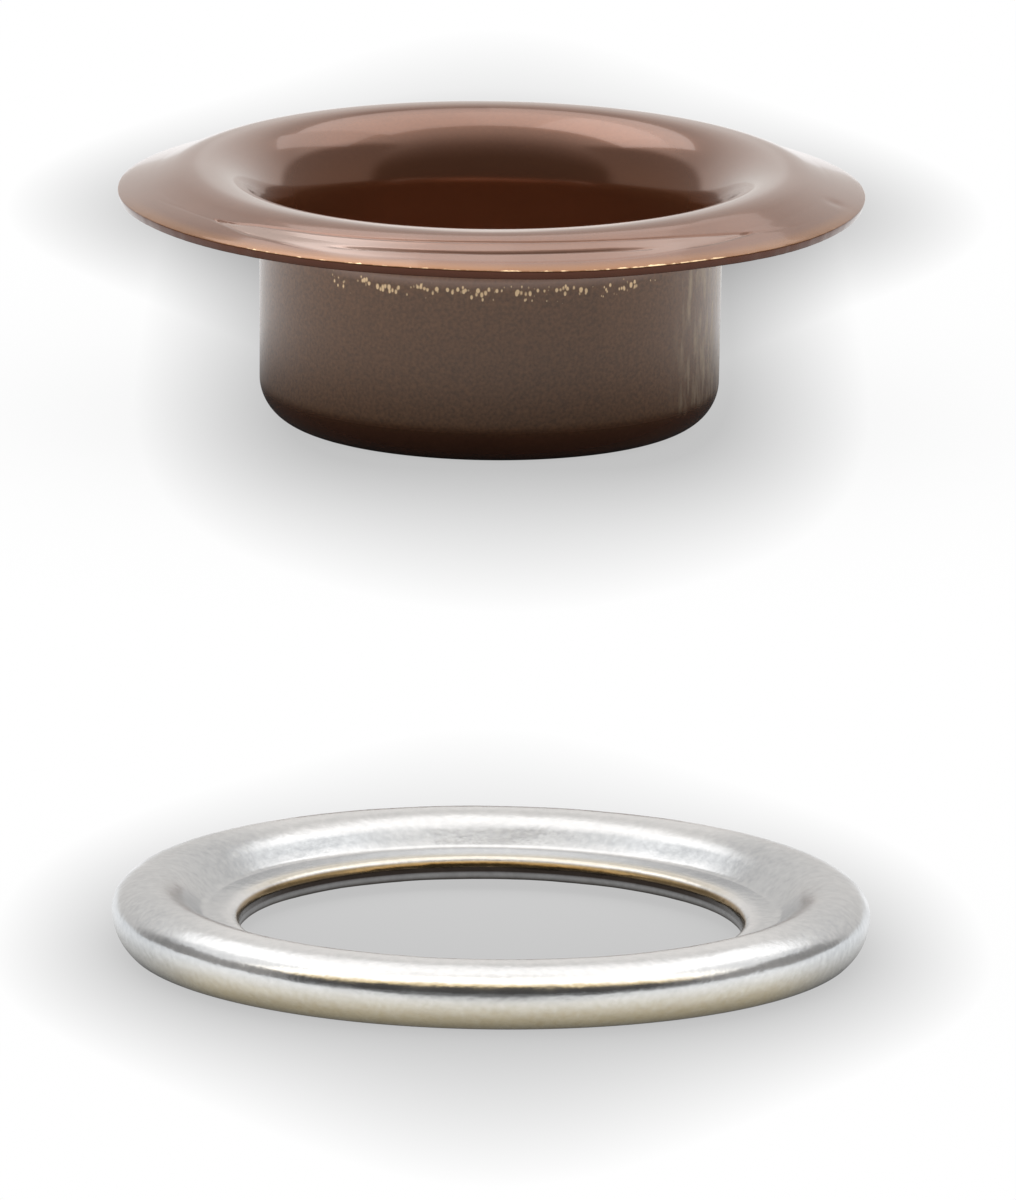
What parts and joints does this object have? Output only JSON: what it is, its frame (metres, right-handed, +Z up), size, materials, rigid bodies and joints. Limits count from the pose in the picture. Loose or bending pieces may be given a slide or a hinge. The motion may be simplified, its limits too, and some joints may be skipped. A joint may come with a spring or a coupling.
{
  "type": "grommet eyelet with washer",
  "caption": "Flanged metal eyelet with a drawn barrel in brown lacquer, beside the domed, stepped washer that its barrel is rolled over.",
  "frame": {"origin": "middle of the pair's footprint, on the surface that both pieces stand on", "axes": "+Z up along both pieces' turning axes, +Y from the washer to the eyelet, +X to the right as the washer is seen in front"},
  "size_m": [0.0234, 0.096, 0.0081],
  "materials": {
    "brown_lacquer": "glossy brown lacquer baked on brass sheet, rubbed to bare brass at the cut edges",
    "nickel_plate": "satin nickel plate, barrel-polished"
  },
  "bodies": {
    "root": {"eyelet": "brown_lacquer", "washer": "nickel_plate"}
  },
  "joints": []
}
